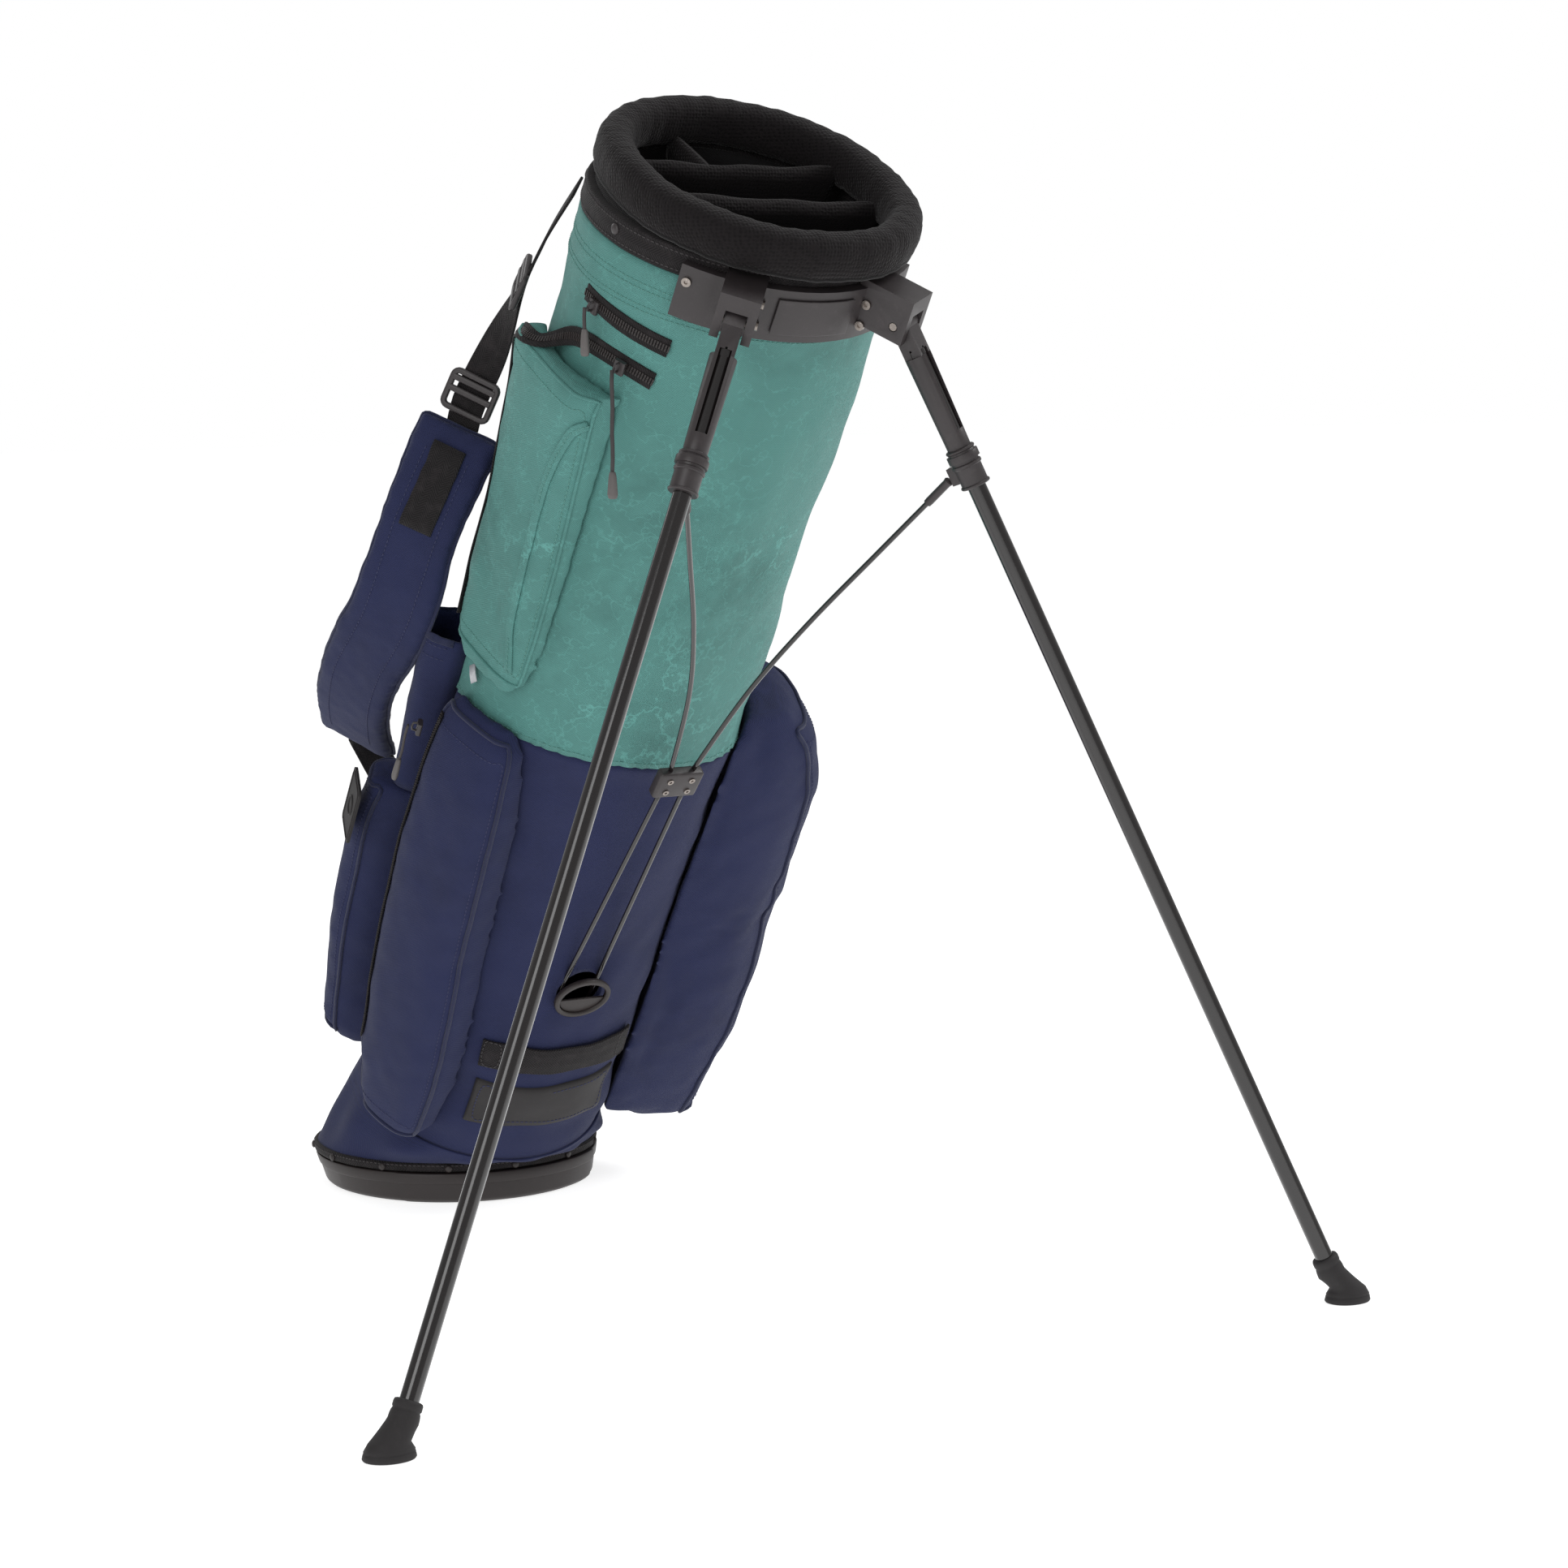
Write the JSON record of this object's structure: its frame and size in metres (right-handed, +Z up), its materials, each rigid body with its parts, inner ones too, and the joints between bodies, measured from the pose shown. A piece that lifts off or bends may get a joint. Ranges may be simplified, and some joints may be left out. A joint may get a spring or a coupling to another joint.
{
  "type": "golf stand bag",
  "caption": "Leaning soft bag with padded divided mouth, side pockets, pivoting base and two spring-out legs driven by push rods.",
  "frame": {"origin": "centre of the base's flat sole, on the floor", "axes": "+Z up from the floor; +X the way the bag leans, over its two legs; +Y to the bag's right-hand side"},
  "size_m": [0.7861, 0.754, 0.8213],
  "materials": {
    "waxed_canvas": "waxed cotton canvas, dry, slightly mottled",
    "navy_canvas": "plain woven nylon canvas, matt",
    "black_mesh": "black padded spacer fabric",
    "webbing": "black woven webbing and binding",
    "satin_plastic": "satin moulded plastic, dark grey",
    "dark_plastic": "moulded plastic, brown black",
    "black_tube": "gloss black coated tube",
    "steel": "plain pins",
    "rubber": "moulded rubber, matt"
  },
  "bodies": {
    "base": {"base_shell": "dark_plastic", "foot_plate": "dark_plastic", "base_binding": "webbing", "rod_anchor": "satin_plastic", "base_hinge_left": "satin_plastic", "base_hinge_right": "satin_plastic", "rod_pivot_pin": "steel", "base_collar": "navy_canvas"},
    "bag": {"lower_body": "navy_canvas", "apparel_pocket": "navy_canvas", "ball_pocket": "navy_canvas", "accessory_pocket": "navy_canvas", "bottle_sleeve": "navy_canvas", "shoulder_pad_left": "navy_canvas", "shoulder_pad_right": "navy_canvas", "upper_body": "waxed_canvas", "side_pocket": "waxed_canvas", "cuff_band": "webbing", "grab_strap": "webbing", "strap_webbing_left": "webbing", "strap_webbing_right": "webbing", "strap_tail_left": "webbing", "strap_tail_right": "webbing", "cuff_pad": "black_mesh", "divider_front": "black_mesh", "divider_rear": "black_mesh", "divider_cross": "black_mesh", "bottom_frame": "satin_plastic", "leg_bracket": "satin_plastic", "bracket_plate": "satin_plastic", "leg_pin_left": "steel", "leg_pin_right": "steel", "stay_left": "rubber", "stay_right": "rubber", "hinge_panel": "rubber", "patch": "rubber", "rod_port": "dark_plastic", "port_cover": "dark_plastic"},
    "leg_left": {"leg_sleeve_left": "satin_plastic", "leg_collar_left": "satin_plastic", "leg_tube_left": "black_tube", "foot_left": "rubber"},
    "leg_right": {"leg_sleeve_right": "satin_plastic", "leg_collar_right": "satin_plastic", "leg_tube_right": "black_tube", "foot_right": "rubber"},
    "push_rods": {"rod_cross_bar": "satin_plastic", "rod_clip": "satin_plastic", "push_rod_left": "black_tube", "push_rod_right": "black_tube"},
    "arm_left": {"rod_arm_left": "black_tube"},
    "arm_right": {"rod_arm_right": "black_tube"},
    "side_slider": {"side_zip_slider": "dark_plastic"},
    "side_pull": {"side_zip_pull": "dark_plastic"},
    "apparel_slider": {"apparel_zip_slider": "dark_plastic"},
    "apparel_pull": {"apparel_zip_pull": "dark_plastic"},
    "neck_slider": {"neck_zip_slider": "dark_plastic"},
    "neck_pull": {"neck_zip_pull": "dark_plastic"}
  },
  "joints": [
    {"name": "base_tilt", "type": "hinge", "parent": "base", "child": "bag", "pos_m": [0, 0, 0.03], "axis": [0, 1, 0], "range_deg": [-32, 0], "deforming": ["base_collar"]},
    {"name": "leg_left", "type": "hinge", "parent": "bag", "child": "leg_left", "pos_m": [0.554, -0.063, 0.6714], "axis": [0.4693, 0.8329, -0.2932], "range_deg": [0, 46.3]},
    {"name": "leg_right", "type": "hinge", "parent": "bag", "child": "leg_right", "pos_m": [0.554, 0.063, 0.6714], "axis": [-0.4693, 0.8329, 0.2932], "range_deg": [0, 46.3]},
    {"name": "rod_pivot", "type": "hinge", "parent": "base", "child": "push_rods", "pos_m": [0.086, 0, 0.05], "axis": [0, 1, 0], "range_deg": [-39.7, 0]},
    {"name": "arm_left", "type": "hinge", "parent": "push_rods", "child": "arm_left", "pos_m": [0.369, -0.009, 0.3603], "axis": [0.7389, 0, -0.6738], "range_deg": [-8.5, 0]},
    {"name": "arm_right", "type": "hinge", "parent": "push_rods", "child": "arm_right", "pos_m": [0.369, 0.009, 0.3603], "axis": [0.7389, 0, -0.6738], "range_deg": [0, 8.5]},
    {"name": "side_zip", "type": "hinge", "parent": "bag", "child": "side_slider", "pos_m": [0.41567, 0, 0.67181], "axis": [0.5299, 0, 0.848], "range_deg": [-6.5, 0]},
    {"name": "side_pull", "type": "hinge", "parent": "side_slider", "child": "side_pull", "pos_m": [0.46722, -0.10618, 0.6396], "axis": [0.7488, 0.4695, -0.4679], "range_deg": [-70, 0]},
    {"name": "apparel_zip", "type": "slide", "parent": "bag", "child": "apparel_slider", "axis": [-0.5299, 0, -0.848], "range_m": [0, 0.2]},
    {"name": "apparel_pull", "type": "hinge", "parent": "apparel_slider", "child": "apparel_pull", "pos_m": [0.23306, -0.14749, 0.38736], "axis": [0.7863, -0.3746, -0.4913], "range_deg": [-70, 0]},
    {"name": "neck_zip", "type": "hinge", "parent": "bag", "child": "neck_slider", "pos_m": [0.42858, 0, 0.69323], "axis": [0.5299, 0, 0.848], "range_deg": [0, 7]},
    {"name": "neck_pull", "type": "hinge", "parent": "neck_slider", "child": "neck_pull", "pos_m": [0.44923, -0.11685, 0.68032], "axis": [0.8295, 0.2079, -0.5183], "range_deg": [-70, 0]}
  ],
  "couplings": [
    {"joint": "leg_left", "follows": "base_tilt", "ratio": -1.4438},
    {"joint": "leg_right", "follows": "base_tilt", "ratio": -1.4438},
    {"joint": "rod_pivot", "follows": "base_tilt", "ratio": 1.237},
    {"joint": "arm_left", "follows": "base_tilt", "ratio": 0.2625},
    {"joint": "arm_right", "follows": "base_tilt", "ratio": -0.2625}
  ]
}
